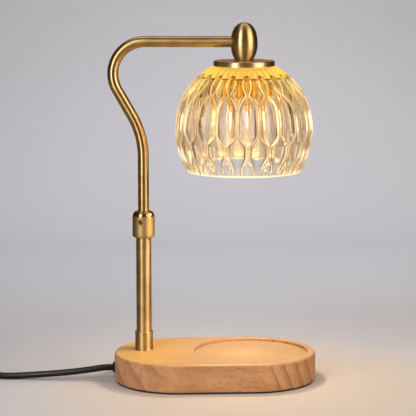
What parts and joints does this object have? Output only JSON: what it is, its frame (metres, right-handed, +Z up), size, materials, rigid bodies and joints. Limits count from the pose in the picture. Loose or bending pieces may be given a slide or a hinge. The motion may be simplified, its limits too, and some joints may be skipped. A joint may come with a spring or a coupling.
{
  "type": "candle warmer lamp",
  "caption": "Table lamp that warms a candle from above: cut-glass shade on a bent brass arm that slides and swings in its column, wooden base with a candle recess, corded dimmer.",
  "frame": {"origin": "middle of the base's underside, on the table", "axes": "+Z up, +X along the base from the column to the candle, +Y away from the side that faces the viewer"},
  "size_m": [0.4366, 0.1669, 0.3279],
  "materials": {
    "beech": "satin lacquer",
    "brass": "brushed, satin",
    "plated_brass": "nickel-plated",
    "steel": "zinc-plated",
    "steel_plate": "matt",
    "foam": "matt foam",
    "nylon": "moulded",
    "black_plastic": "moulded, satin",
    "black_rubber": "smooth",
    "black_fabric": "woven hook-and-loop",
    "core_sleeve": "woven glass-fibre sleeve",
    "ceramic": "unglazed ceramic",
    "board": "solder-masked",
    "cut_glass": "clear, pressed",
    "bulb_glass": "clear",
    "reflector": "mirrored inside"
  },
  "bodies": {
    "base": {"wood_base": "beech", "base_pad": "foam", "bottom_cover": "steel_plate", "cover_screws": "steel", "ballast_plate": "steel_plate", "ballast_screws": "steel", "column_nipple": "steel", "nipple_washer": "steel", "nipple_nut": "steel", "foot_ferrule": "brass", "lower_tube": "brass", "lock_collar": "brass", "collar_screw": "steel", "cord_grommet": "black_rubber", "cord_clamp": "black_plastic", "clamp_screws": "steel", "base_lead": "black_rubber", "base_cores": "core_sleeve", "cord_lead": "black_rubber", "dimmer_boots": "black_rubber", "dimmer_bottom": "black_plastic", "dimmer_top": "black_plastic", "dimmer_board": "board", "dimmer_screws": "steel", "cord_middle": "black_rubber", "cord_coil": "black_rubber", "cord_tie": "black_fabric", "cord_tail": "black_rubber", "plug_relief": "black_rubber", "plug_body": "black_plastic", "plug_blades": "plated_brass"},
    "swivel": {"guide_bush": "nylon"},
    "arm": {"arm_tube": "brass", "tube_stop": "nylon", "arm_lead": "core_sleeve", "egg_housing": "brass", "head_nipple": "steel", "head_nut": "steel", "shade_disc": "brass", "shade_gasket": "nylon", "socket_cup": "brass", "shade_ring": "brass", "socket_ceramic": "ceramic", "socket_contacts": "steel", "glass_shade": "cut_glass", "bulb_reflector": "reflector", "bulb_lens": "bulb_glass", "bulb_capsule": "bulb_glass", "bulb_base": "ceramic", "bulb_pins": "steel"},
    "knob": {"dimmer_knob": "black_plastic", "dimmer_shaft": "steel"}
  },
  "joints": [
    {"name": "arm_swing", "type": "hinge", "parent": "base", "child": "swivel", "pos_m": [-0.065, 0.0085, 0.145], "axis": [0, 0, 1], "range_deg": [-90, 90]},
    {"name": "arm_height", "type": "slide", "parent": "swivel", "child": "arm", "axis": [0, 0, 1], "range_m": [-0.045, 0.035]},
    {"name": "dimmer_turn", "type": "hinge", "parent": "base", "child": "knob", "pos_m": [-0.262, 0.011, 0.02], "axis": [0, 0, 1], "range_deg": [-150, 120]}
  ]
}
